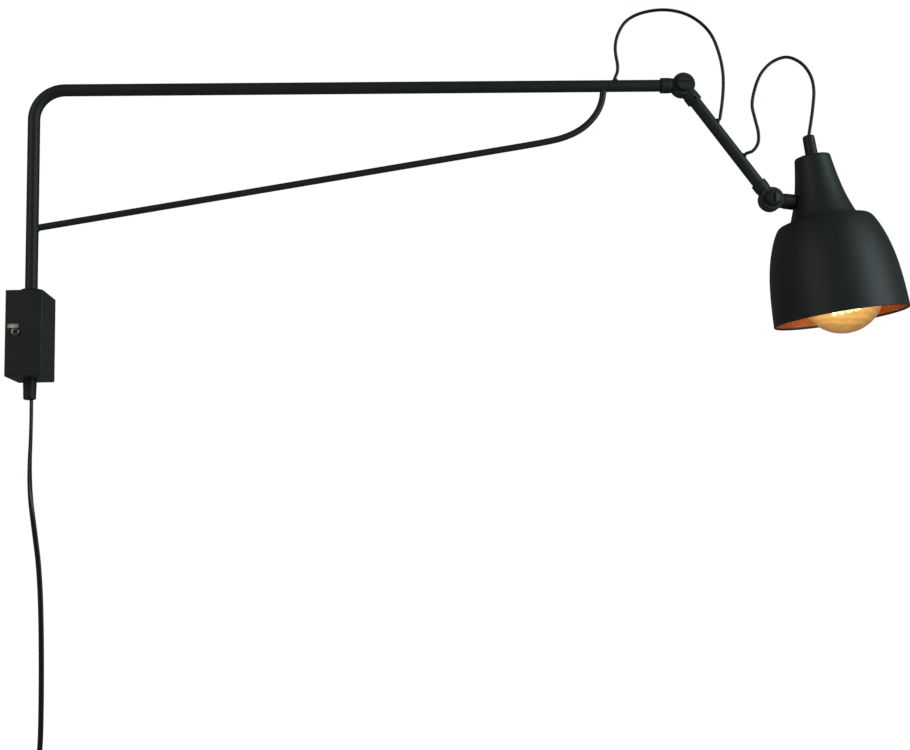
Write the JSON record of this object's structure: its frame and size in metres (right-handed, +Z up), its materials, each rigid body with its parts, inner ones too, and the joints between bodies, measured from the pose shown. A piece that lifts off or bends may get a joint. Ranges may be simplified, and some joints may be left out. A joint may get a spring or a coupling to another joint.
{
  "type": "swing arm wall sconce",
  "caption": "Wall lamp with a box mount, a long braced swing arm, a short second arm and a bell shade on friction knuckles, with looped cables, a globe bulb and a plug-in cord.",
  "frame": {"origin": "on the wall plane, at the middle of the mounting plate's back face", "axes": "+X out of the wall along the arm, +Y to the left of someone facing the wall, +Z up"},
  "size_m": [0.8757, 0.1312, 0.8663],
  "materials": {
    "black_powder_coat": "matt, fine texture",
    "zinc_plated_steel": "bright zinc",
    "brass": "plain",
    "cable_sheath": "satin",
    "black_moulding": "satin",
    "bakelite": "satin",
    "white_nylon": "plain",
    "amber_glass": "clear amber",
    "lit_filament": "glowing"
  },
  "bodies": {
    "wall_unit": {"wall_bracket": "zinc_plated_steel", "wall_box": "black_powder_coat", "lock_screw_front": "black_powder_coat", "lock_screw_back": "black_powder_coat", "post_bush": "black_powder_coat", "bearing_shelf": "zinc_plated_steel", "lower_bush": "brass", "mains_gland": "black_moulding", "gland_locknut": "bakelite", "terminal_block": "white_nylon", "mains_cord": "cable_sheath", "mains_coil": "cable_sheath", "coil_tie": "black_moulding", "cord_tail": "cable_sheath", "plug_body": "black_moulding", "plug_pin_front": "brass", "plug_pin_back": "brass"},
    "arm": {"main_arm": "black_powder_coat", "post_collar": "zinc_plated_steel", "collar_set_screw": "black_powder_coat", "brace_rod": "black_powder_coat", "arm_grommet": "black_moulding", "elbow_fixed_half": "black_powder_coat", "elbow_screw": "black_powder_coat", "elbow_spring_washer": "zinc_plated_steel", "elbow_nut": "black_powder_coat", "inner_arm_cable": "cable_sheath", "upper_cable_loop": "cable_sheath"},
    "forearm": {"elbow_moving_half": "black_powder_coat", "second_arm": "black_powder_coat", "second_arm_upper_grommet": "black_moulding", "second_arm_lower_grommet": "black_moulding", "tilt_fixed_half": "black_powder_coat", "tilt_screw": "black_powder_coat", "tilt_spring_washer": "zinc_plated_steel", "tilt_nut": "black_powder_coat", "inner_second_arm_cable": "cable_sheath", "lower_cable_loop": "cable_sheath"},
    "shade_head": {"tilt_moving_half": "black_powder_coat", "stub_nut": "zinc_plated_steel", "shade_neck": "black_powder_coat", "shade_bell": "black_powder_coat", "shade_gland": "black_moulding", "gland_nut": "zinc_plated_steel", "lamp_holder": "bakelite", "holder_ring": "bakelite", "bulb_cap": "brass", "bulb_globe": "amber_glass", "bulb_stem": "amber_glass", "bulb_filament": "lit_filament"}
  },
  "joints": [
    {"name": "arm_swing", "type": "hinge", "parent": "wall_unit", "child": "arm", "pos_m": [0.0175, 0, 0], "axis": [0, 0, 1], "range_deg": [-80, 80]},
    {"name": "elbow", "type": "hinge", "parent": "arm", "child": "forearm", "pos_m": [0.6637, 0, 0.2453], "axis": [0, 1, 0], "range_deg": [-85, 35], "deforming": ["upper_cable_loop"]},
    {"name": "shade_tilt", "type": "hinge", "parent": "forearm", "child": "shade_head", "pos_m": [0.7471, 0, 0.1262], "axis": [0, 1, 0], "range_deg": [-30, 60], "deforming": ["lower_cable_loop"]}
  ]
}
